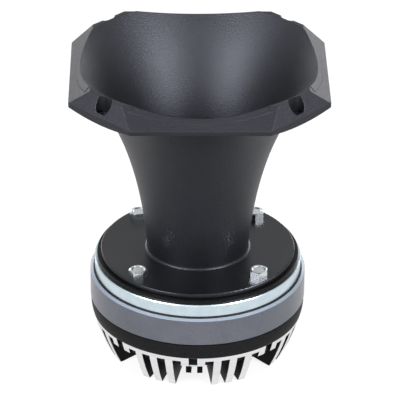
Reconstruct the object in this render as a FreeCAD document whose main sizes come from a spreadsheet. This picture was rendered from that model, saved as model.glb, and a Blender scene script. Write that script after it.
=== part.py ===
"""Compression driver with a bolt-on cast horn, standing on the fins of its rear cover.

Millimetres, +Z up along the sound axis, origin on that axis in the plane of the fin tips.
From the bottom: finned rear cover, diaphragm, rear plate, ring magnet, front plate, horn.
"""
import FreeCAD, Part
import math
import os
import Sketcher

Vector = FreeCAD.Vector
SAME_PLACE = 1e-5

doc = FreeCAD.newDocument("compression_driver")
sheet = doc.addObject("Spreadsheet::Sheet", "Dim")

SIZES = [
    # rear cover, heights above the fin tips
    ("groove_level", 22.0),
    ("web_level", 18.2),
    ("band_level", 24.8),
    ("skirt_level", 34.3),
    ("skirt_radius", 65.2),
    ("band_radius", 64.2),
    ("band_bulge", 26.0),
    ("fin_tip_radius", 54.8),
    ("fin_land", 1.5),
    ("fin_bulge", 120.0),
    ("fin_underside_rise", 5.4),
    ("groove_depth", 3.4),
    ("hub_radius", 24.0),
    ("dome_root_radius", 45.0),
    ("dome_foot_level", 7.6),
    ("dome_bulge", 52.0),
    ("fin_count", 40),
    ("fin_gap_angle", 4.7),
    ("fin_turn", 3.0),
    ("notch_count", 8),
    ("notch_angle", 14.4),
    ("notch_radius", 43.0),
    ("cavity_floor", 10.0),
    ("cavity_floor_radius", 19.0),
    ("cavity_shelf", 21.4),
    ("ring_clearance", 1.8),
    ("cavity_mouth_radius", 42.4),
    ("cavity_bulge", 40.0),
    ("cover_screw_circle", 55.9),
    ("cover_screw_radius", 2.0),
    ("cover_screw_head_radius", 3.4),
    ("cover_screw_head_height", 2.2),
    ("cover_screw_length", 14.0),
    ("screw_clearance", 0.25),
    # seals and pads
    ("rear_gasket_thickness", 1.0),
    ("rear_gasket_setback", 0.7),
    ("pad_radius", 17.0),
    ("pad_thickness", 2.0),
    # motor
    ("rear_plate_radius", 58.6),
    ("rear_plate_thickness", 8.0),
    ("rear_plate_relief", 1.0),
    ("plate_clearance", 0.6),
    ("magnet_radius", 65.6),
    ("magnet_bore", 41.0),
    ("magnet_thickness", 17.2),
    ("magnet_chamfer", 1.9),
    ("magnet_chamfer_drop", 1.0),
    ("front_plate_radius", 62.9),
    ("front_plate_thickness", 8.3),
    ("plate_edge_chamfer", 0.5),
    ("pole_radius", 35.0),
    ("pole_spigot_radius", 31.0),
    ("pole_bore", 31.6),
    ("pole_bore_depth", 16.5),
    ("throat_radius", 25.4),
    ("cap_wall", 0.5),
    ("cap_length", 10.0),
    ("cover_plate_radius", 61.3),
    ("cover_plate_thickness", 2.5),
    # diaphragm
    ("air_gap", 2.4),
    ("former_wall", 0.3),
    ("former_clearance", 0.4),
    ("former_length", 8.0),
    ("winding_wall", 0.7),
    ("winding_length", 6.0),
    ("winding_set", 1.5),
    ("dome_rise", 12.0),
    ("dome_skin", 0.4),
    ("dome_lip", 0.5),
    ("surround_skin", 0.3),
    ("surround_roll_inner", 37.8),
    ("surround_roll_outer", 42.0),
    ("surround_roll_height", 1.5),
    ("ring_inner", 42.6),
    ("ring_outer", 50.6),
    ("ring_thickness", 3.0),
    ("ring_screw_circle", 46.6),
    ("ring_screw_radius", 1.5),
    ("ring_screw_head_radius", 2.6),
    ("ring_screw_head_height", 1.6),
    ("ring_screw_length", 8.0),
    ("ring_screw_count", 6),
    ("ring_screw_turn", 15.0),
    ("pin_radius", 1.25),
    ("pin_turn", 30.0),
    ("pin_standout", 1.2),
    ("pin_depth", 4.0),
    # phase plug
    ("plug_clearance", 0.8),
    ("plug_slit", 1.3),
    ("plug_slit_mouth", 2.6),
    ("plug_ring_count", 3),
    ("plug_rib_width", 1.6),
    # horn
    ("horn_gasket_thickness", 0.3),
    ("horn_gasket_setback", 1.6),
    ("horn_flange_radius", 59.1),
    ("horn_flange_thickness", 2.7),
    ("neck_radius", 30.7),
    ("horn_length", 117.5),
    ("rim_width", 3.9),
    ("flare_top_rise", 7.8),
    ("flare_low_handle_radius", 34.5),
    ("flare_low_handle_share", 0.401),
    ("flare_high_handle_widening", 0.61),
    ("flare_high_handle_share", 0.773),
    ("mouth_radius", 74.1),
    ("mouth_rise", 10.0),
    ("bore_low_handle_radius", 30.0),
    ("bore_low_handle_share", 0.416),
    ("bore_high_handle_widening", 0.533),
    ("bore_high_handle_share", 0.706),
    ("side_overhang", 2.1),
    ("corner_overhang", 8.4),
    ("mouth_lip", 2.5),
    ("mouth_corner_radius", 3.0),
    ("side_ramp_slope", 0.78),
    ("corner_ramp_slope", 1.64),
    ("rim_step", 0.4),
    ("gusset_depth", 2.0),
    ("gusset_half_width", 24.0),
    ("gusset_reach", 20.0),
    ("mouth_screw_spacing", 110.0),
    ("mouth_screw_hole_radius", 3.3),
    ("mouth_screw_recess_depth", 1.0),
    ("recess_straight", 4.3),
    ("recess_half_width", 3.35),
    ("neck_fillet", 1.6),
    ("flange_edge_fillet", 0.7),
    # horn bolts
    ("bolt_circle_radius", 51.0),
    ("bolt_radius", 3.0),
    ("bolt_hole_radius", 3.3),
    ("bolt_head_flats", 10.0),
    ("bolt_head_height", 4.2),
    ("bolt_bevel_radius", 4.7),
    ("bolt_bevel_slope", 0.577),
    ("bolt_dish_radius", 3.9),
    ("bolt_dish_floor_radius", 3.3),
    ("bolt_dish_depth", 0.5),
    ("bolt_length", 12.0),
    # terminals on the back of the cover
    ("terminal_turn", 19.5),
    ("terminal_clearance", 0.15),
    ("facet_depth", 2.6),
    ("facet_height", 9.4),
    ("terminal_width", 22.0),
    ("terminal_height", 5.4),
    ("terminal_level", 21.5),
    ("terminal_flange_width", 27.0),
    ("terminal_flange_height", 8.6),
    ("terminal_flange_thickness", 2.0),
    ("terminal_pitch", 12.0),
    ("post_radius", 1.6),
    ("post_standout", 7.5),
    ("post_tail", 1.0),
    ("knob_radius", 3.4),
    ("knob_length", 6.0),
    ("lead_width", 2.0),
    ("lead_thickness", 0.3),
    ("lead_clearance", 1.2),
    # how far a cutting outline runs past what it cuts
    ("overrun", 6.0),
]

for row, (alias, value) in enumerate(SIZES, start=1):
    sheet.set(f"A{row}", alias)
    sheet.set(f"B{row}", str(value))
    sheet.setAlias(f"B{row}", alias)
doc.recompute()

# Levels along the axis, stacked from the fin tips upward
MAGNET_FOOT = "(Dim.skirt_level + Dim.rear_gasket_thickness)"
REAR_PLATE_FOOT = f"({MAGNET_FOOT} - Dim.rear_plate_thickness)"
MAGNET_TOP = f"({MAGNET_FOOT} + Dim.magnet_thickness)"
FRONT_PLATE_TOP = f"({MAGNET_TOP} + Dim.front_plate_thickness)"
COVER_PLATE_TOP = f"({FRONT_PLATE_TOP} + Dim.cover_plate_thickness)"
HORN_SEAT = f"({COVER_PLATE_TOP} + Dim.horn_gasket_thickness)"
HORN_FLANGE_TOP = f"({HORN_SEAT} + Dim.horn_flange_thickness)"
MOUTH_EDGE = f"({HORN_FLANGE_TOP} + Dim.horn_length)"

# Radii around the voice coil, from the pole outward
CAP_RADIUS = "(Dim.pole_radius + Dim.cap_wall)"
FORMER_RADIUS = f"({CAP_RADIUS} + Dim.former_clearance)"
FORMER_OUTER = f"({FORMER_RADIUS} + Dim.former_wall)"
WINDING_OUTER = f"({FORMER_OUTER} + Dim.winding_wall)"
GAP_OUTER = "(Dim.pole_radius + Dim.air_gap)"

# The diaphragm hangs just below the rear plate
SURROUND_FOOT = f"({REAR_PLATE_FOOT} - Dim.surround_skin)"
DOME_FOOT = f"({SURROUND_FOOT} - Dim.surround_skin)"
RING_FOOT = f"({SURROUND_FOOT} - Dim.ring_thickness)"
CAVITY_RADIUS = "(Dim.ring_outer + Dim.ring_clearance)"
POST_INSET = f"({CAVITY_RADIUS} - Dim.post_tail)"
FACET_REACH = "(Dim.skirt_radius - Dim.facet_depth)"
FLARE_TOP_RADIUS = "(Dim.mouth_radius + Dim.rim_width)"
DOME_EDGE = f"({FORMER_RADIUS} - Dim.dome_lip)"
DOME_RADIUS = f"(({DOME_EDGE}^2 + Dim.dome_rise^2) / (2 * Dim.dome_rise))"
DOME_CENTRE = f"({SURROUND_FOOT} - Dim.dome_rise + {DOME_RADIUS})"
DOME_APEX = f"({SURROUND_FOOT} - Dim.dome_rise)"

# Fins and notches are counted from a gap that faces the front
NOTCH_START = "(270 - Dim.fin_turn)"
SKIRT_BORE = "(Dim.rear_plate_radius + Dim.plate_clearance)"
GROOVE_FLOOR = "(Dim.band_radius - Dim.groove_depth)"
BOLT_OFFSET = "(Dim.bolt_circle_radius * sqrt(0.5))"
TERMINAL_MIDDLE = "(Dim.terminal_level + Dim.terminal_height / 2)"


def number(expression):
    """Value of a sheet expression."""
    value = sheet.evalExpression(str(expression))
    return float(getattr(value, "Value", value))


def origin_feature(body, role):
    """Origin plane or axis of a body, found by its role."""
    for feature in body.Origin.OriginFeatures:
        if feature.Role == role:
            return feature
    raise ValueError(role)


def new_body(label):
    """Empty body whose label names the piece and its file."""
    body = doc.addObject("PartDesign::Body", label)
    body.Label = label
    body.AllowCompound = True
    return body


def new_sketch(body, name, plane="XZ_Plane", turn=None, lift=None):
    """Sketch on an origin plane, turned about its own vertical or lifted off the plane.

    Lift is measured along the normal of the turned sketch.
    """
    sketch = body.newObject("Sketcher::SketchObject", name)
    sketch.AttachmentSupport = [(origin_feature(body, plane), "")]
    sketch.MapMode = "FlatFace"
    sketch.AttachmentOffset = FreeCAD.Placement(
        Vector(0, 0, 0), FreeCAD.Rotation(Vector(0, 1, 0), number(turn or 0)))
    if turn is not None:
        sketch.setExpression("AttachmentOffset.Rotation.Angle", turn)
    if lift is not None and turn is not None:
        sketch.setExpression("AttachmentOffset.Base.x", f"({lift}) * sin({turn})")
        sketch.setExpression("AttachmentOffset.Base.z", f"({lift}) * cos({turn})")
    elif lift is not None:
        sketch.setExpression("AttachmentOffset.Base.z", lift)
    return sketch


def hold_point(sketch, geometry, point, place):
    """Tie one point of the sketch to a pair of sheet expressions."""
    for kind, axis, expression in zip(("DistanceX", "DistanceY"), (-2, -1), place):
        value = number(expression)
        if abs(value) < SAME_PLACE:
            sketch.addConstraint(Sketcher.Constraint("PointOnObject", geometry, point, axis))
        else:
            index = sketch.addConstraint(
                Sketcher.Constraint(kind, -1, 1, geometry, point, value))
            sketch.setExpression(f"Constraints[{index}]", str(expression))


def arc_between(start, end, radius):
    """Arc of the given radius; a positive one bulges to the right of the way from start to end."""
    if radius < 0:
        start, end = end, start
    chord = end - start
    left = Vector(-chord.y, chord.x, 0).normalize()
    rise = math.sqrt(max(radius * radius - chord.Length ** 2 / 4, 0))
    centre = (start + end) / 2 + left * rise
    angles = [math.atan2(point.y - centre.y, point.x - centre.x) for point in (start, end)]
    return Part.ArcOfCircle(Part.Circle(centre, Vector(0, 0, 1), abs(radius)), *angles)


def draw_loop(sketch, corners):
    """Closed outline through the corners.

    A corner is (x, y), (x, y, "arc", radius) or (x, y, "flare", handle, handle): the third
    word says how the outline goes on to the next corner.
    """
    places = [Vector(number(corner[0]), number(corner[1]), 0) for corner in corners]
    count = len(corners)
    ends = []
    for index, corner in enumerate(corners):
        start = places[index]
        end = places[(index + 1) % count]
        kind = corner[2] if len(corner) > 2 else "line"
        if kind == "arc":
            radius = number(corner[3])
            geometry = sketch.addGeometry(arc_between(start, end, radius), False)
            first = 1 if radius > 0 else 2
            held = sketch.addConstraint(Sketcher.Constraint("Radius", geometry, abs(radius)))
            sketch.setExpression(f"Constraints[{held}]", f"abs({corner[3]})")
        elif kind == "flare":
            handles = [Vector(number(x), number(y), 0) for x, y in corner[3:]]
            curve = Part.BSplineCurve()
            curve.buildFromPolesMultsKnots(
                [start] + handles + [end], [4, 4], [0.0, 1.0], False, 3)
            geometry = sketch.addGeometry(curve, False)
            sketch.exposeInternalGeometry(geometry)
            circles = [i for i, drawn in enumerate(sketch.Geometry)
                       if i > geometry and drawn.TypeId == "Part::GeomCircle"]
            for circle, handle in zip(circles[1:3], corner[3:]):
                hold_point(sketch, circle, 3, handle)
            first = 1
        else:
            geometry = sketch.addGeometry(Part.LineSegment(start, end), False)
            first = 1
        ends.append((geometry, first, 3 - first))
        hold_point(sketch, geometry, first, corner[:2])
    for index in range(count):
        geometry, first, last = ends[index]
        next_geometry, next_first = ends[(index + 1) % count][:2]
        sketch.addConstraint(
            Sketcher.Constraint("Coincident", geometry, last, next_geometry, next_first))
    return sketch


def finish(body, feature):
    """Make a feature the tip of its body and compute it."""
    body.Tip = feature
    doc.recompute()
    return feature


def revolve(body, name, corners, cut=False, angle=None, turn=None, midplane=False):
    """Turned solid or groove about the axis from an outline of (radius, height) corners."""
    sketch = draw_loop(new_sketch(body, f"{name}_outline", turn=turn), corners)
    kind = "PartDesign::Groove" if cut else "PartDesign::Revolution"
    feature = body.newObject(kind, name)
    feature.Profile = sketch
    feature.ReferenceAxis = (sketch, ["V_Axis"])
    feature.Midplane = midplane
    feature.Angle = 360
    if angle is not None:
        feature.setExpression("Angle", angle)
    return finish(body, feature)


def extrude(body, name, corner_loops, length, cut=False, plane="XY_Plane", turn=None,
            lift=None, circles=(), reversed_way=False, midplane=False):
    """Pad or pocket of outlines and circles by a length given as a sheet expression."""
    sketch = new_sketch(body, f"{name}_outline", plane, turn, lift)
    for corners in corner_loops:
        draw_loop(sketch, corners)
    for x, y, radius in circles:
        centre = Vector(number(x), number(y), 0)
        circle = sketch.addGeometry(
            Part.Circle(centre, Vector(0, 0, 1), number(radius)), False)
        hold_point(sketch, circle, 3, (x, y))
        held = sketch.addConstraint(Sketcher.Constraint("Radius", circle, number(radius)))
        sketch.setExpression(f"Constraints[{held}]", str(radius))
    feature = body.newObject("PartDesign::Pocket" if cut else "PartDesign::Pad", name)
    feature.Profile = sketch
    feature.Reversed = reversed_way
    feature.Midplane = midplane
    feature.setExpression("Length", length)
    return finish(body, feature)


def polar(body, name, features, count):
    """Copies of features spread round the axis."""
    pattern = body.newObject("PartDesign::PolarPattern", name)
    pattern.Originals = features
    pattern.Axis = (origin_feature(body, "Z_Axis"), [""])
    pattern.Angle = 360
    pattern.setExpression("Occurrences", str(count))
    return finish(body, pattern)


def fillet_edges(body, name, radius, chosen):
    """Fillet on the edges of the tip that the test picks out."""
    tip = body.Tip
    names = [f"Edge{index}" for index, edge in enumerate(tip.Shape.Edges, start=1)
             if chosen(edge)]
    fillet = body.newObject("PartDesign::Fillet", name)
    fillet.Base = (tip, names)
    fillet.setExpression("Radius", radius)
    return finish(body, fillet)


def plate_holes(body, name, places, foot, depth, radius):
    """Round holes cut upward from a level."""
    circles = [(x, y, radius) for x, y in places]
    return extrude(body, name, [], depth, cut=True, lift=foot, circles=circles,
                   reversed_way=True)


def ring_corners(inner, outer, foot, top):
    """Rectangle section of a plain ring or disc."""
    return [(inner, foot), (outer, foot), (outer, top), (inner, top)]


def round_spot(circle_radius, angle):
    """Place on a circle about the axis, as a pair of expressions."""
    return (f"{circle_radius} * cos({angle})", f"{circle_radius} * sin({angle})")


def hexagon(x, y, flats, first_angle):
    """Corners of a hexagon about a place, by its width across flats."""
    reach = f"{flats} / 2 / cos(30)"
    return [(f"{x} + {reach} * cos({first_angle + 60 * k})",
             f"{y} + {reach} * sin({first_angle + 60 * k})") for k in range(6)]


def spread(circle_radius, count, start):
    """Places spread evenly round a circle about the axis."""
    return [round_spot(circle_radius, f"({start} + {360 / count} * {k})") for k in range(count)]


COVER_SCREWS = spread("Dim.cover_screw_circle", int(number("Dim.notch_count")), NOTCH_START)
RING_SCREWS = spread("Dim.ring_screw_circle", int(number("Dim.ring_screw_count")),
                     "Dim.ring_screw_turn")
RING_PINS = spread("Dim.ring_screw_circle", 2, "(Dim.ring_screw_turn + Dim.pin_turn)")
HORN_BOLTS = [(f"{x} * {BOLT_OFFSET}", f"{y} * {BOLT_OFFSET}")
              for x in (-1, 1) for y in (-1, 1)]


def make_rear_cover():
    """Cast aluminium cover: skirt, domed back, forty radial fins and eight screw notches."""
    body = new_body("rear_cover")
    revolve(body, "cover_casting", [
        ("0", "Dim.fin_underside_rise"),
        ("Dim.hub_radius", "Dim.fin_underside_rise"),
        ("(Dim.fin_tip_radius - Dim.fin_land)", "0"),
        ("Dim.fin_tip_radius", "0", "arc", "Dim.fin_bulge"),
        ("Dim.band_radius", "Dim.band_level", "arc", "Dim.band_bulge"),
        ("Dim.skirt_radius", "Dim.skirt_level"),
        (SKIRT_BORE, "Dim.skirt_level"),
        (SKIRT_BORE, REAR_PLATE_FOOT),
        (CAVITY_RADIUS, REAR_PLATE_FOOT),
        (CAVITY_RADIUS, "Dim.cavity_shelf"),
        ("Dim.cavity_mouth_radius", "Dim.cavity_shelf", "arc", "-Dim.cavity_bulge"),
        ("Dim.cavity_floor_radius", "Dim.cavity_floor"),
        ("0", "Dim.cavity_floor"),
    ])
    outside = "(Dim.skirt_radius + Dim.overrun)"
    gap = revolve(body, "fin_gap", [
        ("Dim.hub_radius", "-Dim.overrun"),
        ("Dim.hub_radius", "Dim.dome_foot_level", "arc", "Dim.dome_bulge"),
        ("Dim.dome_root_radius", "Dim.web_level"),
        (GROOVE_FLOOR, "Dim.web_level"),
        (GROOVE_FLOOR, "Dim.groove_level"),
        (outside, "Dim.groove_level"),
        (outside, "-Dim.overrun"),
    ], cut=True, angle="Dim.fin_gap_angle", turn=NOTCH_START, midplane=True)
    polar(body, "fin_gaps", [gap], "Dim.fin_count")
    deep_gap = revolve(
        body, "deep_gap",
        ring_corners(GROOVE_FLOOR, outside, "(Dim.web_level - Dim.overrun)", "Dim.band_level"),
        cut=True, angle="Dim.fin_gap_angle", turn=NOTCH_START, midplane=True)
    polar(body, "deep_gaps", [deep_gap], "Dim.notch_count")
    notch = revolve(body, "notch", [
        ("Dim.notch_radius", "-Dim.overrun"),
        ("Dim.dome_root_radius", "Dim.web_level"),
        (outside, "Dim.web_level"),
        (outside, "-Dim.overrun"),
    ], cut=True, angle="Dim.notch_angle", turn=NOTCH_START, midplane=True)
    polar(body, "notches", [notch], "Dim.notch_count")
    plate_holes(body, "cover_screw_holes", COVER_SCREWS, "0", REAR_PLATE_FOOT,
                "(Dim.cover_screw_radius + Dim.screw_clearance)")
    half_facet = "(Dim.terminal_flange_width / 2 + Dim.plate_clearance)"
    extrude(body, "terminal_facet",
            [box_corners(half_facet, f"({TERMINAL_MIDDLE} - Dim.facet_height / 2)",
                         f"({TERMINAL_MIDDLE} + Dim.facet_height / 2)")],
            "2 * Dim.overrun", cut=True, plane="XZ_Plane", turn="Dim.terminal_turn",
            lift=f"-{FACET_REACH}")
    extrude(body, "terminal_window",
            [box_corners("(Dim.terminal_width / 2)", "Dim.terminal_level",
                         "(Dim.terminal_level + Dim.terminal_height)")],
            f"(Dim.skirt_radius - {CAVITY_RADIUS} + Dim.overrun)", cut=True,
            plane="XZ_Plane", turn="Dim.terminal_turn",
            lift=f"(Dim.overrun / 2 - {CAVITY_RADIUS})")
    return body


def box_corners(half_width, foot, top):
    """Rectangle centred on the sketch's vertical."""
    return [(f"-{half_width}", foot), (half_width, foot), (half_width, top),
            (f"-{half_width}", top)]


def make_cover_screws():
    """Pan-head screws that hold the cover to the rear plate, one in each notch."""
    body = new_body("cover_screws")
    extrude(body, "cover_screw_heads", [], "Dim.cover_screw_head_height",
            lift="(Dim.web_level - Dim.cover_screw_head_height)",
            circles=[(x, y, "Dim.cover_screw_head_radius") for x, y in COVER_SCREWS])
    extrude(body, "cover_screw_shanks", [], "Dim.cover_screw_length", lift="Dim.web_level",
            circles=[(x, y, "Dim.cover_screw_radius") for x, y in COVER_SCREWS])
    return body


def make_ring(label, inner, outer, foot, top):
    """Plain flat ring or sleeve."""
    body = new_body(label)
    revolve(body, f"{label}_ring", ring_corners(inner, outer, foot, top))
    return body


def make_damping_pad():
    """Felt disc glued to the floor of the rear chamber."""
    body = new_body("damping_pad")
    extrude(body, "pad_disc", [], "Dim.pad_thickness", lift="Dim.cavity_floor",
            circles=[("0", "0", "Dim.pad_radius")])
    return body


def make_rear_plate():
    """Steel plate round the voice coil, with tapped holes and a relief for the surround."""
    body = new_body("rear_plate")
    relief_edge = "(Dim.surround_roll_outer + Dim.plate_clearance)"
    revolve(body, "rear_plate_disc", [
        (GAP_OUTER, f"({REAR_PLATE_FOOT} + Dim.rear_plate_relief)"),
        (relief_edge, f"({REAR_PLATE_FOOT} + Dim.rear_plate_relief)"),
        (relief_edge, REAR_PLATE_FOOT),
        ("Dim.rear_plate_radius", REAR_PLATE_FOOT),
        ("Dim.rear_plate_radius", MAGNET_FOOT),
        (GAP_OUTER, MAGNET_FOOT),
    ])
    cover_reach = f"(Dim.web_level + Dim.cover_screw_length - {REAR_PLATE_FOOT})"
    plate_holes(body, "cover_screw_taps", COVER_SCREWS, REAR_PLATE_FOOT, cover_reach,
                "Dim.cover_screw_radius")
    ring_reach = f"({RING_FOOT} + Dim.ring_screw_length - {REAR_PLATE_FOOT})"
    plate_holes(body, "ring_screw_taps", RING_SCREWS, REAR_PLATE_FOOT, ring_reach,
                "Dim.ring_screw_radius")
    plate_holes(body, "pin_holes", RING_PINS, REAR_PLATE_FOOT, "Dim.pin_depth",
                "Dim.pin_radius")
    return body


def make_magnet():
    """Ground ferrite ring with a broad chamfer round its front edge."""
    body = new_body("magnet")
    revolve(body, "magnet_ring", [
        ("Dim.magnet_bore", MAGNET_FOOT),
        ("Dim.magnet_radius", MAGNET_FOOT),
        ("Dim.magnet_radius", f"({MAGNET_TOP} - Dim.magnet_chamfer_drop)"),
        ("(Dim.magnet_radius - Dim.magnet_chamfer)", MAGNET_TOP),
        ("Dim.magnet_bore", MAGNET_TOP),
    ])
    return body


def make_front_plate():
    """Zinc-plated steel plate that carries the pole piece and takes the horn bolts."""
    body = new_body("front_plate")
    edge = "Dim.plate_edge_chamfer"
    revolve(body, "front_plate_disc", [
        ("Dim.pole_spigot_radius", MAGNET_TOP),
        (f"(Dim.front_plate_radius - {edge})", MAGNET_TOP),
        ("Dim.front_plate_radius", f"({MAGNET_TOP} + {edge})"),
        ("Dim.front_plate_radius", f"({FRONT_PLATE_TOP} - {edge})"),
        (f"(Dim.front_plate_radius - {edge})", FRONT_PLATE_TOP),
        ("Dim.pole_spigot_radius", FRONT_PLATE_TOP),
    ])
    bolt_foot = f"({HORN_FLANGE_TOP} - Dim.bolt_length)"
    plate_holes(body, "bolt_taps", HORN_BOLTS, bolt_foot, "Dim.bolt_length",
                "Dim.bolt_radius")
    return body


def make_pole_piece():
    """Steel pole pressed into the front plate, bored out as the start of the throat."""
    body = new_body("pole_piece")
    revolve(body, "pole_turning", [
        ("Dim.pole_bore", REAR_PLATE_FOOT),
        ("Dim.pole_radius", REAR_PLATE_FOOT),
        ("Dim.pole_radius", MAGNET_TOP),
        ("Dim.pole_spigot_radius", MAGNET_TOP),
        ("Dim.pole_spigot_radius", FRONT_PLATE_TOP),
        ("Dim.throat_radius", FRONT_PLATE_TOP),
        ("Dim.pole_bore", f"({REAR_PLATE_FOOT} + Dim.pole_bore_depth)"),
    ])
    return body


def make_phase_plug():
    """Moulded plug that follows the dome, with ring slits held together by three ribs."""
    body = new_body("phase_plug")
    face_radius = f"({DOME_RADIUS} - Dim.plug_clearance)"
    top = f"({REAR_PLATE_FOOT} + Dim.pole_bore_depth)"
    rim = f"({DOME_CENTRE} - sqrt({face_radius}^2 - Dim.pole_bore^2))"
    revolve(body, "plug_blank", [
        ("0", f"({DOME_APEX} + Dim.plug_clearance)", "arc", face_radius),
        ("Dim.pole_bore", rim),
        ("Dim.pole_bore", top),
        ("0", top),
    ])
    foot = f"({DOME_APEX} - Dim.overrun / 2)"
    lid = f"({top} + Dim.overrun / 2)"
    slits = int(number("Dim.plug_ring_count"))
    for k in range(1, slits + 1):
        entry = f"(Dim.pole_bore * {k} / ({slits} + 0.5))"
        leave = f"({entry} * Dim.throat_radius / Dim.pole_bore + Dim.plug_slit_mouth / 2)"
        revolve(body, f"slit_{k}", [
            (f"({entry} - Dim.plug_slit / 2)", foot),
            (f"({entry} + Dim.plug_slit / 2)", foot),
            (f"({leave} + Dim.plug_slit_mouth / 2)", lid),
            (f"({leave} - Dim.plug_slit_mouth / 2)", lid),
        ], cut=True)
    rib = extrude(body, "plug_rib",
                  [[("0", "-Dim.plug_rib_width / 2"),
                    ("(Dim.pole_bore - Dim.plug_rib_width)", "-Dim.plug_rib_width / 2"),
                    ("(Dim.pole_bore - Dim.plug_rib_width)", "Dim.plug_rib_width / 2"),
                    ("0", "Dim.plug_rib_width / 2")]],
                  "Dim.pole_bore_depth / 3", lift=f"({top} - Dim.pole_bore_depth / 2)")
    polar(body, "plug_ribs", [rib], 3)
    return body


def make_diaphragm_dome():
    """Thin metal dome with a flat lip that carries the coil former and the surround."""
    body = new_body("diaphragm_dome")
    back_edge = f"({DOME_EDGE} + Dim.dome_skin)"
    back_rise = "(Dim.dome_rise + Dim.dome_skin - Dim.surround_skin)"
    back_radius = f"(({back_edge}^2 + {back_rise}^2) / (2 * {back_rise}))"
    lip_edge = f"({FORMER_OUTER} + Dim.dome_lip)"
    revolve(body, "dome_skin_turning", [
        ("0", DOME_APEX, "arc", DOME_RADIUS),
        (DOME_EDGE, SURROUND_FOOT),
        (lip_edge, SURROUND_FOOT),
        (lip_edge, DOME_FOOT),
        (back_edge, DOME_FOOT, "arc", f"-{back_radius}"),
        ("0", f"({DOME_APEX} - Dim.dome_skin)"),
    ])
    return body


def make_surround():
    """Film ring with one half roll, glued to the dome's lip and clamped by the ring."""
    body = new_body("diaphragm_surround")
    roll = "Dim.surround_roll_height"
    width = "(Dim.surround_roll_outer - Dim.surround_roll_inner)"
    outer_radius = f"(({width} / 2)^2 + {roll}^2) / (2 * {roll})"
    inner_radius = f"(({width} / 2 - Dim.surround_skin)^2 + {roll}^2) / (2 * {roll})"
    revolve(body, "surround_film", [
        (FORMER_OUTER, SURROUND_FOOT),
        ("Dim.surround_roll_inner", SURROUND_FOOT, "arc", f"({outer_radius})"),
        ("Dim.surround_roll_outer", SURROUND_FOOT),
        ("Dim.ring_outer", SURROUND_FOOT),
        ("Dim.ring_outer", REAR_PLATE_FOOT),
        ("(Dim.surround_roll_outer - Dim.surround_skin)", REAR_PLATE_FOOT, "arc",
         f"-({inner_radius})"),
        ("(Dim.surround_roll_inner + Dim.surround_skin)", REAR_PLATE_FOOT),
        (FORMER_OUTER, REAR_PLATE_FOOT),
    ])
    drill_ring(body, "surround", SURROUND_FOOT, "Dim.surround_skin")
    return body


def drill_ring(body, name, foot, depth):
    """Screw and pin holes shared by the surround and the mounting ring."""
    plate_holes(body, f"{name}_screw_holes", RING_SCREWS, foot, depth, "Dim.ring_screw_radius")
    plate_holes(body, f"{name}_pin_holes", RING_PINS, foot, depth, "Dim.pin_radius")


def make_mounting_ring():
    """Moulded ring that clamps the surround to the rear plate."""
    body = make_ring("diaphragm_ring", "Dim.ring_inner", "Dim.ring_outer", RING_FOOT,
                     SURROUND_FOOT)
    drill_ring(body, "ring", RING_FOOT, "Dim.ring_thickness")
    return body


def make_ring_screws():
    """Pan-head screws through the mounting ring into the rear plate."""
    body = new_body("diaphragm_screws")
    extrude(body, "ring_screw_heads", [], "Dim.ring_screw_head_height",
            lift=f"({RING_FOOT} - Dim.ring_screw_head_height)",
            circles=[(x, y, "Dim.ring_screw_head_radius") for x, y in RING_SCREWS])
    extrude(body, "ring_screw_shanks", [], "Dim.ring_screw_length", lift=RING_FOOT,
            circles=[(x, y, "Dim.ring_screw_radius") for x, y in RING_SCREWS])
    return body


def make_locating_pins():
    """Two dowels that centre the diaphragm on the rear plate."""
    body = new_body("locating_pins")
    foot = f"({RING_FOOT} - Dim.pin_standout)"
    extrude(body, "pins", [], f"({REAR_PLATE_FOOT} + Dim.pin_depth - {foot})", lift=foot,
            circles=[(x, y, "Dim.pin_radius") for x, y in RING_PINS])
    return body


def make_terminal_block():
    """Moulded block in the cover's window, with a flange outside."""
    body = new_body("terminal_block")
    clearance = "Dim.terminal_clearance"
    foot = f"(Dim.terminal_level + {clearance})"
    top = f"(Dim.terminal_level + Dim.terminal_height - {clearance})"
    extrude(body, "block_tongue", [box_corners(f"(Dim.terminal_width / 2 - {clearance})",
                                               foot, top)],
            f"({FACET_REACH} - {CAVITY_RADIUS} - {clearance})", plane="XZ_Plane",
            lift=f"-{FACET_REACH}", turn="Dim.terminal_turn")
    half_height = "Dim.terminal_flange_height / 2"
    extrude(body, "block_flange", [box_corners("(Dim.terminal_flange_width / 2)",
                                               f"({TERMINAL_MIDDLE} - {half_height})",
                                               f"({TERMINAL_MIDDLE} + {half_height})")],
            "Dim.terminal_flange_thickness", plane="XZ_Plane", turn="Dim.terminal_turn",
            lift=f"-({FACET_REACH} + Dim.terminal_flange_thickness)")
    extrude(body, "post_holes", [], "4 * Dim.overrun", cut=True, plane="XZ_Plane",
            turn="Dim.terminal_turn", lift=f"-({CAVITY_RADIUS} - Dim.overrun)",
            circles=[(f"{side} * Dim.terminal_pitch / 2", TERMINAL_MIDDLE, "Dim.post_radius")
                     for side in (-1, 1)])
    return body


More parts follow.
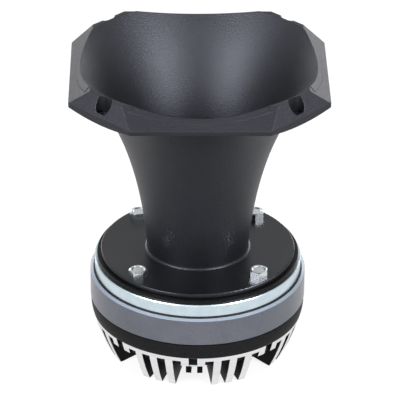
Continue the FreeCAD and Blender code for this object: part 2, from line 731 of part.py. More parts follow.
def make_terminal(sign, side, colour):
    """Post, knob and lead of one terminal; side is -1 or 1 along the block."""
    across = f"{side} * Dim.terminal_pitch / 2"
    block_face = f"({FACET_REACH} + Dim.terminal_flange_thickness)"
    post = new_body(f"terminal_post_{sign}")
    post_length = f"({block_face} + Dim.post_standout - {POST_INSET})"
    extrude(post, f"post_{sign}", [], post_length, plane="XZ_Plane",
            turn="Dim.terminal_turn", lift=f"-({block_face} + Dim.post_standout)",
            circles=[(across, TERMINAL_MIDDLE, "Dim.post_radius")])
    knob = new_body(f"terminal_knob_{colour}")
    extrude(knob, f"knob_{sign}", [], "Dim.knob_length", plane="XZ_Plane",
            turn="Dim.terminal_turn", lift=f"-({block_face} + Dim.knob_length)",
            circles=[(across, TERMINAL_MIDDLE, "Dim.knob_radius"),
                     (across, TERMINAL_MIDDLE, "Dim.post_radius")])
    lead = new_body(f"lead_{sign}")
    strip = "Dim.lead_thickness"
    roll_foot = f"({SURROUND_FOOT} - Dim.surround_roll_height - {strip})"
    start = FORMER_OUTER
    bend = "(Dim.surround_roll_inner - Dim.dome_lip)"
    under_ring = "(Dim.ring_inner - Dim.lead_clearance)"
    sketch_corners = [
        (start, DOME_FOOT),
        (start, f"({DOME_FOOT} - {strip})"),
        (f"({bend} - {strip})", f"({roll_foot} - {strip})"),
        (f"({under_ring} - {strip})", f"({roll_foot} - {strip})"),
        (under_ring, f"({RING_FOOT} - {strip})"),
        (POST_INSET, f"({RING_FOOT} - {strip})"),
        (POST_INSET, RING_FOOT),
        (under_ring, RING_FOOT),
        (f"({under_ring} - {strip})", roll_foot),
        (bend, roll_foot),
        (f"({start} + {strip})", DOME_FOOT),
    ]
    extrude(lead, f"lead_{sign}_strip", [sketch_corners], "Dim.lead_width",
            plane="XZ_Plane", turn="(90 + Dim.terminal_turn)",
            lift=f"({across} - Dim.lead_width / 2)")
    return post, knob, lead


def make_horn():
    """One casting: bolt flange, neck, round flare and eight-sided mouth flange."""
    body = new_body("horn")
    half = "(Dim.mouth_radius + Dim.side_overhang)"
    reach = "(Dim.mouth_radius + Dim.corner_overhang)"
    corner = f"({reach} * sqrt(2) - {half})"
    octagon = [(half, f"-{corner}"), (half, corner), (corner, half), (f"-{corner}", half),
               (f"-{half}", corner), (f"-{half}", f"-{corner}"), (f"-{corner}", f"-{half}"),
               (corner, f"-{half}")]
    rim_top = f"({MOUTH_EDGE} + Dim.mouth_rise)"
    extrude(body, "mouth_flange", [octagon], "(Dim.mouth_lip + Dim.mouth_rise)",
            lift=f"({MOUTH_EDGE} - Dim.mouth_lip)")
    fillet_edges(body, "mouth_corners", "Dim.mouth_corner_radius", is_upright)
    cut_ramps(body, "side_ramp", half, "Dim.side_ramp_slope", "0", MOUTH_EDGE)
    cut_ramps(body, "corner_ramp", reach, "Dim.corner_ramp_slope", "45", MOUTH_EDGE)
    lip_foot = f"({MOUTH_EDGE} - Dim.mouth_lip)"
    gusset_radius = "((Dim.gusset_half_width^2 + Dim.gusset_depth^2) / (2 * Dim.gusset_depth))"
    gusset = extrude(body, "corner_gusset", [[
        ("-Dim.gusset_half_width", lip_foot, "arc", gusset_radius),
        ("Dim.gusset_half_width", lip_foot),
        ("Dim.gusset_half_width", f"({lip_foot} + Dim.mouth_lip / 2)"),
        ("-Dim.gusset_half_width", f"({lip_foot} + Dim.mouth_lip / 2)"),
    ]], "Dim.gusset_reach", plane="XZ_Plane", turn="135", lift=reach, reversed_way=True)
    polar(body, "corner_gussets", [gusset], 4)
    flare_top = f"({MOUTH_EDGE} + Dim.flare_top_rise)"
    flare_height = "(Dim.horn_length + Dim.flare_top_rise)"
    revolve(body, "flare", [
        ("0", HORN_SEAT),
        ("Dim.horn_flange_radius", HORN_SEAT),
        ("Dim.horn_flange_radius", HORN_FLANGE_TOP),
        ("Dim.neck_radius", HORN_FLANGE_TOP, "flare",
         ("Dim.flare_low_handle_radius",
          f"({HORN_FLANGE_TOP} + Dim.flare_low_handle_share * {flare_height})"),
         (f"(Dim.flare_high_handle_widening * {FLARE_TOP_RADIUS})",
          f"({HORN_FLANGE_TOP} + Dim.flare_high_handle_share * {flare_height})")),
        (FLARE_TOP_RADIUS, flare_top),
        ("Dim.mouth_radius", rim_top),
        ("0", rim_top),
    ])
    cut_ramps(body, "rim_ramp", half, "Dim.side_ramp_slope", "0",
              f"({MOUTH_EDGE} + Dim.rim_step)")
    bore_height = f"({rim_top} - {HORN_SEAT})"
    revolve(body, "horn_bore", [
        ("0", f"({HORN_SEAT} - Dim.overrun)"),
        ("Dim.throat_radius", f"({HORN_SEAT} - Dim.overrun)"),
        ("Dim.throat_radius", HORN_SEAT, "flare",
         ("Dim.bore_low_handle_radius",
          f"({HORN_SEAT} + Dim.bore_low_handle_share * {bore_height})"),
         ("(Dim.bore_high_handle_widening * Dim.mouth_radius)",
          f"({HORN_SEAT} + Dim.bore_high_handle_share * {bore_height})")),
        ("Dim.mouth_radius", rim_top),
        ("Dim.mouth_radius", f"({rim_top} + Dim.overrun)"),
        ("0", f"({rim_top} + Dim.overrun)"),
    ], cut=True)
    half_spacing = "Dim.mouth_screw_spacing / 2"
    plate_holes(body, "mouth_screw_holes",
                [(f"{x} * {half_spacing}", f"{y} * {half_spacing}")
                 for x in (-1, 1) for y in (-1, 1)],
                f"({MOUTH_EDGE} - 3 * Dim.overrun)", "6 * Dim.overrun",
                "Dim.mouth_screw_hole_radius")
    extrude(body, "mouth_screw_recesses",
            [recess_outline(x, y) for x in (-1, 1) for y in (-1, 1)],
            "(Dim.mouth_rise + Dim.overrun)", cut=True,
            lift=f"({MOUTH_EDGE} - Dim.mouth_screw_recess_depth)", reversed_way=True)
    plate_holes(body, "horn_bolt_holes", HORN_BOLTS, HORN_SEAT, "Dim.horn_flange_thickness",
                "Dim.bolt_hole_radius")
    seat = number(HORN_FLANGE_TOP)
    fillet_edges(body, "neck_root", "Dim.neck_fillet",
                 lambda edge: is_circle(edge, number("Dim.neck_radius"), seat))
    fillet_edges(body, "flange_edge", "Dim.flange_edge_fillet",
                 lambda edge: is_circle(edge, number("Dim.horn_flange_radius"), seat))
    return body


def recess_outline(side_x, side_y):
    """Long recess about a screw hole in one corner of the mouth, lying along the corner's edge."""
    middle = "(Dim.mouth_screw_spacing * sqrt(0.5))"

    def place(outward, along):
        x = f"({side_x} * ({middle} + {outward}) - {side_y} * {along}) * sqrt(0.5)"
        y = f"({side_y} * ({middle} + {outward}) + {side_x} * {along}) * sqrt(0.5)"
        return x, y

    half_width = "Dim.recess_half_width"
    half_length = "Dim.recess_straight / 2"
    rounded = ("arc", half_width)
    return [place(half_width, f"-{half_length}"),
            (*place(half_width, half_length), *rounded),
            place(f"-{half_width}", half_length),
            (*place(f"-{half_width}", f"-{half_length}"), *rounded)]


def is_upright(edge):
    """True for an edge that runs straight up."""
    box = edge.BoundBox
    return box.XLength < SAME_PLACE and box.YLength < SAME_PLACE


def is_circle(edge, radius, level):
    """True for a full circle about the axis with this radius and level."""
    curve = edge.Curve
    return (curve.TypeId == "Part::GeomCircle" and abs(curve.Radius - radius) < SAME_PLACE
            and abs(curve.Center.z - level) < SAME_PLACE
            and abs(curve.Center.x) < SAME_PLACE)


def cut_ramps(body, name, reach, slope, turn, edge_level):
    """Four slopes that fall from the mouth to the flange's edge, a quarter turn apart."""
    run = "5 * Dim.overrun"
    outside = f"({reach} + Dim.overrun)"
    top = f"({edge_level} + {slope} * {run})"
    ramp = extrude(body, name, [[
        (reach, edge_level),
        (outside, edge_level),
        (outside, top),
        (f"({reach} - {run})", top),
    ]], f"4 * {reach}", cut=True, plane="XZ_Plane", turn=turn, midplane=True)
    polar(body, f"{name}s", [ramp], 4)


def groove_about(body, name, place, corner_loops):
    """Cut turned about an upright axis through (place, place), from (radius, height) loops."""
    sketch = new_sketch(body, f"{name}_outline", lift=f"-({place})")
    for corners in corner_loops:
        draw_loop(sketch, [(f"({place} + {radius})", height) for radius, height in corners])
    middle = number(place)
    axis = sketch.addGeometry(
        Part.LineSegment(Vector(middle, 0, 0), Vector(middle, 1, 0)), True)
    hold_point(sketch, axis, 1, (place, "0"))
    hold_point(sketch, axis, 2, (place, "1"))
    groove = body.newObject("PartDesign::Groove", name)
    groove.Profile = sketch
    groove.ReferenceAxis = (sketch, ["Axis0"])
    groove.Angle = 360
    return finish(body, groove)


def make_horn_bolts():
    """Hex-head bolts; the left pair shows a flat to the front and the right pair a corner."""
    body = new_body("horn_bolts")
    heads = [hexagon(x, y, "Dim.bolt_head_flats", 0 if number(x) < 0 else 30)
             for x, y in HORN_BOLTS]
    extrude(body, "bolt_heads", heads, "Dim.bolt_head_height", lift=HORN_FLANGE_TOP)
    crown = f"({HORN_FLANGE_TOP} + Dim.bolt_head_height)"
    above = f"({crown} + Dim.overrun)"
    corner = "Dim.bolt_head_flats"
    bevel_drop = f"(({corner} - Dim.bolt_bevel_radius) * Dim.bolt_bevel_slope)"
    crowning = groove_about(body, "bolt_crown", f"-{BOLT_OFFSET}", [
        [("Dim.bolt_bevel_radius", crown), (corner, f"({crown} - {bevel_drop})"),
         (corner, above), ("Dim.bolt_bevel_radius", above)],
        [("0", f"({crown} - Dim.bolt_dish_depth)"),
         ("Dim.bolt_dish_floor_radius", f"({crown} - Dim.bolt_dish_depth)"),
         ("Dim.bolt_dish_radius", crown), ("Dim.bolt_dish_radius", above), ("0", above)],
    ])
    polar(body, "bolt_crowns", [crowning], 4)
    extrude(body, "bolt_shanks", [], "Dim.bolt_length",
            lift=f"({HORN_FLANGE_TOP} - Dim.bolt_length)",
            circles=[(x, y, "Dim.bolt_radius") for x, y in HORN_BOLTS])
    return body


def make_bored_disc(label, outer, foot, thickness):
    """Disc with the throat bore and clearance holes for the horn bolts."""
    body = make_ring(label, "Dim.throat_radius", outer, foot, f"({foot} + {thickness})")
    plate_holes(body, f"{label}_holes", HORN_BOLTS, foot, thickness, "Dim.bolt_hole_radius")
    return body


pieces = [
    make_rear_cover(),
    make_cover_screws(),
    make_ring("rear_gasket", SKIRT_BORE, "(Dim.skirt_radius - Dim.rear_gasket_setback)",
              "Dim.skirt_level", MAGNET_FOOT),
    make_damping_pad(),
    make_rear_plate(),
    make_magnet(),
    make_front_plate(),
    make_pole_piece(),
    make_ring("pole_cap", "Dim.pole_radius", CAP_RADIUS, REAR_PLATE_FOOT,
              f"({REAR_PLATE_FOOT} + Dim.cap_length)"),
    make_phase_plug(),
    make_diaphragm_dome(),
    make_surround(),
    make_ring("coil_former", FORMER_RADIUS, FORMER_OUTER, SURROUND_FOOT,
              f"({SURROUND_FOOT} + Dim.former_length)"),
    make_ring("voice_coil", FORMER_OUTER, WINDING_OUTER,
              f"({REAR_PLATE_FOOT} + Dim.winding_set)",
              f"({REAR_PLATE_FOOT} + Dim.winding_set + Dim.winding_length)"),
    make_mounting_ring(),
    make_ring_screws(),
    make_locating_pins(),
    make_terminal_block(),
    *make_terminal("positive", -1, "red"),
    *make_terminal("negative", 1, "black"),
    make_bored_disc("cover_plate", "Dim.cover_plate_radius", FRONT_PLATE_TOP,
                    "Dim.cover_plate_thickness"),
    make_bored_disc("horn_gasket", "(Dim.horn_flange_radius - Dim.horn_gasket_setback)",
                    COVER_PLATE_TOP, "Dim.horn_gasket_thickness"),
    make_horn(),
    make_horn_bolts(),
]
doc.recompute()

for made in doc.Objects:
    if "Invalid" in made.State or "Error" in made.State:
        raise RuntimeError(f"{made.Name} failed to compute")
for piece in pieces:
    if piece.Shape.isNull() or not piece.Shape.isValid():
        raise RuntimeError(f"{piece.Label} has no valid shape")

os.makedirs("parts", exist_ok=True)
for piece in pieces:
    piece.Shape.exportStep(f"parts/{piece.Label}.step")
    print(piece.Label, len(piece.Shape.Solids), round(piece.Shape.Volume, 1))
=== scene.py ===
"""Looks for the compression driver: finishes, fine trim, light, floor and camera."""
import math
import bpy
from mathutils import Matrix, Vector


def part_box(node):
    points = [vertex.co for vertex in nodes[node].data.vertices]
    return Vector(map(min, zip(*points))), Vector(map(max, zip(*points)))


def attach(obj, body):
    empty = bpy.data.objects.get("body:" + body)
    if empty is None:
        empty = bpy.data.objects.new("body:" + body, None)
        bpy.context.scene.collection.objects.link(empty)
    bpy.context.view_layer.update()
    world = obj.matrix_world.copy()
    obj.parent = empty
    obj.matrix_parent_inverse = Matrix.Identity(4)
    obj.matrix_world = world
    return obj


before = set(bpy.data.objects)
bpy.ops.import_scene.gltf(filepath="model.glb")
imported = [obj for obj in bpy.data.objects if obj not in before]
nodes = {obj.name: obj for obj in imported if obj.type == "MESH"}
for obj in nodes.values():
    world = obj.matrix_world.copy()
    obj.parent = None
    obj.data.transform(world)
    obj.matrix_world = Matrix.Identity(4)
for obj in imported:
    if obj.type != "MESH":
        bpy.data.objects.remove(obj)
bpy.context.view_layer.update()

# Horn casting.
# One aluminium casting with its round foot flange, dipped in matt black powder coat.
# The coat has a fine even grain that breaks up the highlights inside the flare.


class Value:
    """A shader socket that Python arithmetic adds Math nodes to."""

    def __init__(self, finish, socket):
        self.finish = finish
        self.socket = socket

    def combine(self, operation, first, second):
        return self.finish.add("ShaderNodeMath", {"operation": operation}, {0: first, 1: second})

    def __add__(self, other):
        return self.combine("ADD", self, other)

    def __radd__(self, other):
        return self.combine("ADD", other, self)

    def __sub__(self, other):
        return self.combine("SUBTRACT", self, other)

    def __rsub__(self, other):
        return self.combine("SUBTRACT", other, self)

    def __mul__(self, other):
        return self.combine("MULTIPLY", self, other)

    def __pow__(self, other):
        return self.combine("POWER", self, other)

    def __gt__(self, other):
        return self.combine("GREATER_THAN", self, other)

    def __lt__(self, other):
        return self.combine("LESS_THAN", self, other)


class Finish:
    """One material: a Principled shader and the nodes that vary it over the surface."""

    def __init__(self, name, **sockets):
        self.material = bpy.data.materials.new(name)
        self.material.use_nodes = True
        self.tree = self.material.node_tree
        self.shader = self.tree.nodes["Principled BSDF"]
        self.place = self.add("ShaderNodeTexCoord", {}, {}, "Object")
        for name, value in sockets.items():
            self.socket(name).default_value = value

    def socket(self, name):
        """Input of the shader by its name in lower case with underscores."""
        return [s for s in self.shader.inputs if s.name.lower().replace(" ", "_") == name][0]

    def add(self, kind, settings, inputs, output=0):
        """Any node: settings first, then the values or links of its sockets."""
        node = self.tree.nodes.new(kind)
        for name, value in settings.items():
            if name == "stops":
                first, *others = value
                node.color_ramp.elements.remove(node.color_ramp.elements[1])
                node.color_ramp.elements[0].position = first[0]
                node.color_ramp.elements[0].color = (*first[1], 1)
                for position, colour in others:
                    node.color_ramp.elements.new(position).color = (*colour, 1)
            else:
                setattr(node, name, value)
        for name, value in inputs.items():
            if isinstance(value, Value):
                self.tree.links.new(value.socket, node.inputs[name])
            else:
                node.inputs[name].default_value = value
        return Value(self, node.outputs[output])

    def feed(self, **values):
        for name, value in values.items():
            self.tree.links.new(value.socket, self.socket(name))

    def noise(self, size, detail=3.0, stretch=(1, 1, 1)):
        """Smooth noise whose lumps are about this many metres across."""
        where = self.place
        if stretch != (1, 1, 1):
            where = self.add("ShaderNodeMapping", {}, {"Vector": where, "Scale": stretch})
        return self.add("ShaderNodeTexNoise", {}, {"Vector": where, "Scale": 1 / size,
                                                   "Detail": detail})

    def axes(self):
        """X, Y and Z of the place on the object."""
        node = self.tree.nodes.new("ShaderNodeSeparateXYZ")
        self.tree.links.new(self.place.socket, node.inputs[0])
        return [Value(self, output) for output in node.outputs]

    def radius(self):
        """Distance from the sound axis."""
        x, y, z = self.axes()
        return (x * x + y * y) ** 0.5

    def ramp(self, value, *stops):
        return self.add("ShaderNodeValToRGB", {"stops": stops}, {"Fac": value})

    def blend(self, factor, first, second):
        """Mix of two colours, each a triple or a socket."""
        node = self.tree.nodes.new("ShaderNodeMix")
        node.data_type = "RGBA"
        sockets = {"Factor": factor, "A": first, "B": second}
        for socket in node.inputs:
            if socket.name in sockets and (socket.type == "RGBA" or socket.name == "Factor"):
                if socket.name == "Factor" and socket.type != "VALUE":
                    continue
                value = sockets[socket.name]
                if isinstance(value, Value):
                    self.tree.links.new(value.socket, socket)
                elif socket.type == "RGBA":
                    socket.default_value = (*value, 1)
                else:
                    socket.default_value = value
        return Value(self, [o for o in node.outputs if o.type == "RGBA"][0])

    def rounded_edges(self, radius):
        """Normals that round off sharp edges by this many metres."""
        return self.add("ShaderNodeBevel", {"samples": 6}, {"Radius": radius})

    def bump(self, height, depth, strength=1.0, under=None):
        inputs = {"Height": height, "Distance": depth, "Strength": strength}
        if under is not None:
            inputs["Normal"] = under
        return self.add("ShaderNodeBump", {}, inputs)

    def dress(self, *names):
        """Put this finish on CAD nodes."""
        for name in names:
            slots = nodes[name].material_slots
            if not slots:
                nodes[name].data.materials.append(self.material)
            for slot in slots:
                slot.material = self.material


horn_coat = Finish("horn_coat", specular_ior_level=0.36, specular_tint=(0.8, 0.83, 1.0, 1))
grain = horn_coat.noise(0.0008, 2.0)
patches = horn_coat.noise(0.03, 2.0)
foot_flange_top = 0.067
rough_cast = horn_coat.axes()[2] > foot_flange_top
horn_coat.feed(
    base_color=horn_coat.ramp(patches * 0.5 + grain * 0.5,
                              (0.35, (0.0015, 0.0016, 0.0018)), (0.65, (0.004, 0.0042, 0.0048))),
    roughness=0.22 + grain * 0.14 + patches * 0.04 + rough_cast * 0.14,
    normal=horn_coat.bump(grain * (0.1 + rough_cast * 0.9), 0.00028, 0.8,
                          horn_coat.rounded_edges(0.0007)))
horn_coat.dress("horn")

# Zinc-plated steel.
# The front plate and every screw are steel, turned or formed, then bright zinc plated with
# the faint blue cast and soft mottling of a passivated finish.

zinc = Finish("zinc_plated", metallic=1.0)
mottle = zinc.noise(0.005, 4.0)
turning = zinc.noise(0.0006, 2.0, (0.02, 0.02, 1))
zinc.feed(
    base_color=zinc.ramp(mottle, (0.3, (0.50, 0.59, 0.64)), (0.7, (0.56, 0.65, 0.70))),
    roughness=0.2 + mottle * 0.05 + turning * 0.06,
    normal=zinc.bump(turning, 0.00001, 0.4))
zinc.dress("front_plate", "cover_screws", "diaphragm_screws")

# Horn bolts.
# Four hexagon bolts, cold formed with a bevelled and dished head, bright zinc plated.

bolt_zinc = Finish("bolt_zinc", metallic=1.0)
blotch = bolt_zinc.noise(0.0012, 3.0)
bolt_zinc.feed(
    base_color=bolt_zinc.ramp(blotch, (0.35, (0.54, 0.57, 0.59)), (0.65, (0.66, 0.69, 0.70))),
    roughness=0.2 + blotch * 0.14,
    normal=bolt_zinc.bump(blotch, 0.00001, 0.3))
bolt_zinc.dress("horn_bolts")

# Black cover plate.
# A thin pressed plate between horn and front plate, painted satin black.

black_plate = Finish("black_plate", specular_ior_level=0.1)
dust = black_plate.noise(0.0012, 3.0)
black_plate.feed(
    base_color=black_plate.ramp(dust, (0.4, (0.0015, 0.0015, 0.0017)),
                                (0.7, (0.004, 0.004, 0.0044))),
    roughness=0.3 + dust * 0.12,
    normal=black_plate.bump(dust, 0.00003, 0.3))
black_plate.dress("cover_plate")

# Ring magnet.
# Sintered ferrite, ground on its outside and faces, with the fine pits of the pressing.

ferrite = Finish("ferrite", specular_ior_level=0.45, specular_tint=(0.88, 0.9, 1.0, 1))
pits = ferrite.noise(0.0009, 4.0)
cloud = ferrite.noise(0.012, 3.0)
magnet_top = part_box("magnet")[1][2]
# Painted highlight: the top 1.1 mm of the magnet, its bevelled edge, is coloured a lighter blue
# than the rest.
painted_highlight_band = 0.0011
ferrite.feed(
    base_color=ferrite.blend(
        ferrite.axes()[2] > magnet_top - painted_highlight_band,
        ferrite.ramp(cloud * 0.3 + pits * 0.7,
                     (0.35, (0.038, 0.04, 0.049)), (0.65, (0.054, 0.057, 0.068))),
        (0.13, 0.155, 0.19)),
    roughness=0.24 + pits * 0.12,
    normal=ferrite.bump(pits, 0.00003, 0.3, ferrite.rounded_edges(0.0005)))
ferrite.dress("magnet")

# Rear cover.
# Aluminium casting painted black, then turned on its outside, so the fin edges and the belt
# above them are bright bare metal while the gaps between the fins stay black.

cover = Finish("cover_casting", specular_ior_level=0.06)
radius = cover.radius()
height = cover.axes()[2]
fin_arc_radius = 0.120
fin_arc_centre = (-0.052023, 0.054671)
belt_level = 0.0248
cut_depth = 0.00025
level_slack = 0.00003
from_arc = ((radius - fin_arc_centre[0]) ** 2 + (height - fin_arc_centre[1]) ** 2) ** 0.5
on_turning = (from_arc > fin_arc_radius - cut_depth) * (height < belt_level + level_slack)
on_land = height < level_slack
bare = cover.add("ShaderNodeMath", {"operation": "MAXIMUM"}, {0: on_turning, 1: on_land})
lathe = cover.noise(0.0005, 2.0, (0.03, 0.03, 1))
cast = cover.noise(0.0008, 3.0)
cover.feed(
    base_color=cover.blend(bare,
                           cover.ramp(cast, (0.35, (0.003, 0.003, 0.0033)),
                                      (0.65, (0.007, 0.007, 0.0077))),
                           cover.ramp(lathe,
                                      (0.3, (0.62, 0.62, 0.63)), (0.7, (0.74, 0.74, 0.75)))),
    metallic=bare * 1.0,
    roughness=0.42 + cast * 0.12 - bare * 0.12,
    normal=cover.bump(cast * (1 - bare) * 3 + lathe * bare, 0.00002, 0.5))
cover.dress("rear_cover")

# Seals.
# Black rubber gaskets under the horn's foot and between magnet and rear cover.

rubber = Finish("seal_rubber", specular_ior_level=0.3)
bloom = rubber.noise(0.0015, 3.0)
rubber.feed(
    base_color=rubber.ramp(bloom, (0.3, (0.006, 0.006, 0.006)), (0.7, (0.012, 0.012, 0.012))),
    roughness=0.7 + bloom * 0.2,
    normal=rubber.bump(bloom, 0.00003, 0.3))
rubber.dress("horn_gasket", "rear_gasket")

# Machined motor steel.
# Pole piece, rear plate and dowels: turned mild steel, oiled and left bare.

motor_steel = Finish("machined_steel", metallic=1.0)
tool_marks = motor_steel.noise(0.0008, 3.0, (0.1, 0.1, 1))
motor_steel.feed(
    base_color=motor_steel.ramp(tool_marks, (0.3, (0.3, 0.3, 0.31)), (0.7, (0.42, 0.42, 0.43))),
    roughness=0.3 + tool_marks * 0.15,
    normal=motor_steel.bump(tool_marks, 0.00001, 0.4))
motor_steel.dress("pole_piece", "rear_plate", "locating_pins")

# Copper parts.
# The shorting cap is drawn copper tube; the coil is enamelled wire wound on the former.

copper = Finish("copper", metallic=1.0)
tarnish = copper.noise(0.003, 4.0)
winding = copper.noise(0.00035, 1.0, (0.02, 0.02, 1))
copper.feed(
    base_color=copper.ramp(tarnish, (0.35, (0.55, 0.24, 0.12)), (0.65, (0.78, 0.4, 0.24))),
    roughness=0.25 + tarnish * 0.2,
    normal=copper.bump(winding, 0.00003, 0.6))
copper.dress("pole_cap", "voice_coil")

# Diaphragm.
# The dome is formed aluminium foil; the surround and coil former are amber polyimide film.

foil = Finish("dome_foil", metallic=1.0)
sheen = foil.noise(0.005, 2.0)
foil.feed(
    base_color=foil.ramp(sheen, (0.3, (0.72, 0.73, 0.75)), (0.7, (0.82, 0.83, 0.85))),
    roughness=0.28 + sheen * 0.12,
    normal=foil.bump(sheen, 0.00004, 0.3))
foil.dress("diaphragm_dome")

film = Finish("amber_film", coat_weight=0.4)
ripple = film.noise(0.002, 2.0)
film.feed(
    base_color=film.ramp(ripple, (0.3, (0.3, 0.12, 0.02)), (0.7, (0.42, 0.19, 0.04))),
    roughness=0.25 + ripple * 0.15,
    normal=film.bump(ripple, 0.00003, 0.3))
film.dress("diaphragm_surround", "coil_former")

# Moulded pieces.
# Phase plug, diaphragm ring and terminal block are black glass-filled nylon.

nylon = Finish("black_nylon", specular_ior_level=0.45)
flow = nylon.noise(0.0018, 4.0)
nylon.feed(
    base_color=nylon.ramp(flow, (0.3, (0.012, 0.012, 0.013)), (0.7, (0.022, 0.022, 0.023))),
    roughness=0.4 + flow * 0.2,
    normal=nylon.bump(flow, 0.00004, 0.35))
nylon.dress("phase_plug", "diaphragm_ring", "terminal_block")

# Damping pad.
# Grey felt disc glued to the floor of the rear chamber.

felt = Finish("grey_felt", specular_ior_level=0.2, sheen_weight=0.4)
fibres = felt.noise(0.0006, 6.0)
felt.feed(
    base_color=felt.ramp(fibres, (0.3, (0.1, 0.1, 0.105)), (0.7, (0.22, 0.22, 0.225))),
    roughness=0.85 + fibres * 0.1,
    normal=felt.bump(fibres, 0.0003, 0.8))
felt.dress("damping_pad")

# Terminals.
# Plated brass posts for the cable and brass lead strips to the diaphragm.

brass = Finish("plated_brass", metallic=1.0)
spots = brass.noise(0.002, 3.0)
brass.feed(
    base_color=brass.ramp(spots, (0.3, (0.7, 0.56, 0.28)), (0.7, (0.82, 0.68, 0.38))),
    roughness=0.2 + spots * 0.15,
    normal=brass.bump(spots, 0.00001, 0.3))
brass.dress("terminal_post_positive", "terminal_post_negative", "lead_positive",
            "lead_negative")

# Terminal knobs.
# Moulded plastic, red for positive and black for negative, with small ridges round the
# outside that give the fingers a hold.

terminal_turn = math.radians(19.5)
ridge_count = 24
ridge_width = 0.0005
ridge_share = 0.84

ridge_tree = bpy.data.node_groups.new("knob_ridges", "GeometryNodeTree")
ridge_inputs = {}
for label, kind in (("Ridges", "NodeSocketInt"), ("Radius", "NodeSocketFloat"),
                    ("Length", "NodeSocketFloat"), ("Width", "NodeSocketFloat"),
                    ("Material", "NodeSocketMaterial")):
    ridge_inputs[label] = ridge_tree.interface.new_socket(
        name=label, in_out="INPUT", socket_type=kind).identifier
ridge_tree.interface.new_socket(name="Ridged", in_out="OUTPUT",
                                socket_type="NodeSocketGeometry")
given = ridge_tree.nodes.new("NodeGroupInput")
circle = ridge_tree.nodes.new("GeometryNodeMeshCircle")
ridge = ridge_tree.nodes.new("GeometryNodeMeshCylinder")
ridge.inputs["Vertices"].default_value = 8
spread = ridge_tree.nodes.new("GeometryNodeInstanceOnPoints")
real = ridge_tree.nodes.new("GeometryNodeRealizeInstances")
coat = ridge_tree.nodes.new("GeometryNodeSetMaterial")
made = ridge_tree.nodes.new("NodeGroupOutput")
for source, socket, target, place in (
        (given, "Ridges", circle, "Vertices"), (given, "Radius", circle, "Radius"),
        (given, "Width", ridge, "Radius"), (given, "Length", ridge, "Depth"),
        (circle, "Mesh", spread, "Points"), (ridge, "Mesh", spread, "Instance"),
        (spread, "Instances", real, "Geometry"), (real, "Geometry", coat, "Geometry"),
        (given, "Material", coat, "Material"), (coat, "Geometry", made, "Ridged")):
    ridge_tree.links.new(source.outputs[socket], target.inputs[place])


def knob_ridges(knob, finish):
    """Finger ridges round one knob, made along Z and then laid along the knob's own axis."""
    low, high = (Vector(corner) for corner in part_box(knob))
    knob_radius = (high.z - low.z) / 2
    knob_length = ((high.y - low.y) - 2 * knob_radius * math.sin(terminal_turn)) / math.cos(
        terminal_turn)
    blank = bpy.data.objects.new(f"{knob}_blank", bpy.data.meshes.new(f"{knob}_blank"))
    bpy.context.collection.objects.link(blank)
    modifier = blank.modifiers.new("ridges", "NODES")
    modifier.node_group = ridge_tree
    for label, value in (("Ridges", ridge_count), ("Radius", knob_radius),
                         ("Length", knob_length * ridge_share), ("Width", ridge_width / 2),
                         ("Material", finish.material)):
        modifier[ridge_inputs[label]] = value
    settled = blank.evaluated_get(bpy.context.evaluated_depsgraph_get())
    mesh = bpy.data.meshes.new_from_object(settled)
    bpy.data.objects.remove(blank)
    lay = Matrix.Rotation(terminal_turn, 4, "Z") @ Matrix.Rotation(math.radians(-90), 4, "X")
    mesh.transform(Matrix.Translation((low + high) / 2) @ lay)
    piece = bpy.data.objects.new(f"{knob}_ridges", mesh)
    bpy.context.collection.objects.link(piece)
    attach(piece, "root")


for knob, slot, dark, light in (
        ("terminal_knob_red", "red_plastic", (0.38, 0.012, 0.012), (0.46, 0.02, 0.018)),
        ("terminal_knob_black", "black_plastic", (0.01, 0.01, 0.01), (0.018, 0.018, 0.018))):
    knob_plastic = Finish(f"{knob}_plastic", coat_weight=0.2)
    moulding = knob_plastic.noise(0.0015, 3.0)
    knob_plastic.feed(
        base_color=knob_plastic.ramp(moulding, (0.3, dark), (0.7, light)),
        roughness=0.3 + moulding * 0.15,
        normal=knob_plastic.bump(moulding, 0.00002, 0.3))
    knob_plastic.dress(knob)
    knob_ridges(knob, knob_plastic)

# Painted shade line.
# A thin black bead all the way round where magnet and front plate meet, standing in for the
# shadow in that joint.

painted_shade_finish = Finish("black_epoxy", specular_ior_level=0.15)
bead_mottle = painted_shade_finish.noise(0.003, 2.0)
painted_shade_finish.feed(
    base_color=painted_shade_finish.ramp(bead_mottle, (0.3, (0.002, 0.002, 0.002)), (0.7, (0.005, 0.005, 0.005))),
    roughness=0.5 + bead_mottle * 0.2,
    normal=painted_shade_finish.bump(bead_mottle, 0.0001, 0.5))


def shade_bead(name, radius, height, thickness, around=240, across=10):
    """Ring of round section about the sound axis."""
    points = []
    for step in range(around):
        turn = math.tau * step / around
        for part in range(across):
            roll = math.tau * part / across
            reach = radius + thickness * math.cos(roll)
            points.append((reach * math.cos(turn), reach * math.sin(turn),
                           height + thickness * math.sin(roll)))
    faces = []
    for step in range(around):
        here = step * across
        there = (step + 1) % around * across
        for part in range(across):
            after = (part + 1) % across
            faces.append((here + part, there + part, there + after, here + after))
    mesh = bpy.data.meshes.new(name)
    mesh.from_pydata(points, [], faces)
    mesh.polygons.foreach_set("use_smooth", [True] * len(faces))
    mesh.materials.append(painted_shade_finish.material)
    piece = bpy.data.objects.new(name, mesh)
    bpy.context.collection.objects.link(piece)
    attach(piece, "root")


# The bead is painted shade: black where the joint under the front plate lies in shadow.
plate_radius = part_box("front_plate")[1][0]
bead_radius = 0.0009
shade_bead("front_glue_line", plate_radius, magnet_top, bead_radius)

# Floor, light and camera.
# A plain pale floor in soft light from two large panels and three weak ones. Camera, mirror
# and glass rays see white all round, and the matt surfaces get a weaker, even surround.

background_rays = ("Is Camera Ray", "Is Glossy Ray", "Is Transmission Ray")
white_share = 0.85

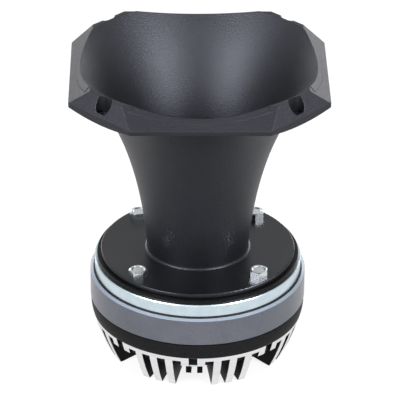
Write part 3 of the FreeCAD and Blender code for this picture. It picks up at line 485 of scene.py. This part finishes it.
bpy.ops.mesh.primitive_plane_add(size=30, location=(0, 0, -0.0002))
floor = bpy.context.object
floor.name = "floor"
paper = Finish("floor_paper", roughness=0.9, specular_ior_level=0.1)
fleck = paper.noise(0.004, 3.0)
paper.feed(
    base_color=paper.ramp(fleck, (0.3, (0.7, 0.7, 0.7)), (0.7, (0.76, 0.76, 0.76))))
ray = paper.tree.nodes.new("ShaderNodeLightPath")
glow = paper.tree.nodes.new("ShaderNodeEmission")
glow.inputs["Strength"].default_value = 1.0
camera_ray, mirror_ray, glass_ray = (Value(paper, ray.outputs[kind]) for kind in background_rays)
share = (camera_ray + mirror_ray + glass_ray) * white_share
mixer = paper.tree.nodes.new("ShaderNodeMixShader")
paper.tree.links.new(share.socket, mixer.inputs[0])
paper.tree.links.new(paper.shader.outputs[0], mixer.inputs[1])
paper.tree.links.new(glow.outputs[0], mixer.inputs[2])
paper.tree.links.new(mixer.outputs[0],
                     paper.tree.nodes["Material Output"].inputs["Surface"])
floor.data.materials.append(paper.material)

world = bpy.data.worlds.new("surround")
bpy.context.scene.world = world
world.use_nodes = True
surround = world.node_tree
seen = surround.nodes.new("ShaderNodeLightPath")
lit = surround.nodes["Background"]
lit.inputs["Color"].default_value = (0.98, 0.99, 1.0, 1)
lit.inputs["Strength"].default_value = 0.36
white = surround.nodes.new("ShaderNodeBackground")
white.inputs["Strength"].default_value = 1.0
swap = surround.nodes.new("ShaderNodeMixShader")
sees_white = seen.outputs["Is Camera Ray"]
for kind in background_rays[1:]:
    either = surround.nodes.new("ShaderNodeMath")
    surround.links.new(sees_white, either.inputs[0])
    surround.links.new(seen.outputs[kind], either.inputs[1])
    sees_white = either.outputs[0]
surround.links.new(sees_white, swap.inputs[0])
surround.links.new(lit.outputs[0], swap.inputs[1])
surround.links.new(white.outputs[0], swap.inputs[2])
surround.links.new(swap.outputs[0], surround.nodes["World Output"].inputs["Surface"])


def light_panel(name, place, size, watts):
    """Soft square light that faces the middle of the object."""
    lamp = bpy.data.lights.new(name, "AREA")
    lamp.shape = "RECTANGLE"
    lamp.size, lamp.size_y = size
    lamp.energy = watts
    holder = bpy.data.objects.new(name, lamp)
    bpy.context.collection.objects.link(holder)
    holder.location = place
    holder.rotation_euler = (Vector((0, 0, 0.12)) - Vector(place)).to_track_quat(
        "-Z", "Y").to_euler()


# The two large panels make the highlights inside the flare, and the two rim panels stand
# behind and light the edges.
light_panel("left_panel", (-1.2, -1.1, 1.25), (0.9, 0.8), 70)
light_panel("right_panel", (1.2, -1.1, 1.25), (0.9, 0.8), 71)
light_panel("front_panel", (0, -1.7, 1.7), (1.4, 0.6), 5)
light_panel("left_rim_panel", (-0.95, 1.65, 0.52), (0.9, 0.5), 5)
light_panel("right_rim_panel", (0.95, 1.65, 0.52), (0.9, 0.5), 7)

# The lens stands this far, in metres, from the top of the horn's foot flange on the sound axis.
# The picture's middle is off that point by the two aims, in pixels.
aim_point = Vector((0, 0, 0.0663))
distance = 1.7692
view_turn = math.radians(-0.91)
view_drop = math.radians(28.89)
view_roll = math.radians(0.43)
lens_pixels = 2900
picture_pixels = 400
aim_right = -2.25
aim_down = 45.16

ahead = Vector((0, math.cos(view_drop), -math.sin(view_drop)))
above = Vector((0, math.sin(view_drop), math.cos(view_drop)))
aside = Vector((1, 0, 0))
right = math.cos(view_roll) * aside + math.sin(view_roll) * above
up = math.cos(view_roll) * above - math.sin(view_roll) * aside
spot = (aim_right * -right + aim_down * up) * distance / lens_pixels - ahead * distance
axes = Matrix((right, up, -ahead)).transposed().to_4x4()
turned = Matrix.Rotation(view_turn, 4, "Z")
camera = bpy.data.objects.new("camera", bpy.data.cameras.new("camera"))
bpy.context.collection.objects.link(camera)
camera.matrix_world = Matrix.Translation(aim_point) @ turned @ Matrix.Translation(spot) @ axes
camera.data.sensor_width = 36
camera.data.lens = lens_pixels / picture_pixels * 36
camera.data.clip_end = 50
bpy.context.scene.camera = camera
bpy.context.scene.view_settings.view_transform = "Standard"
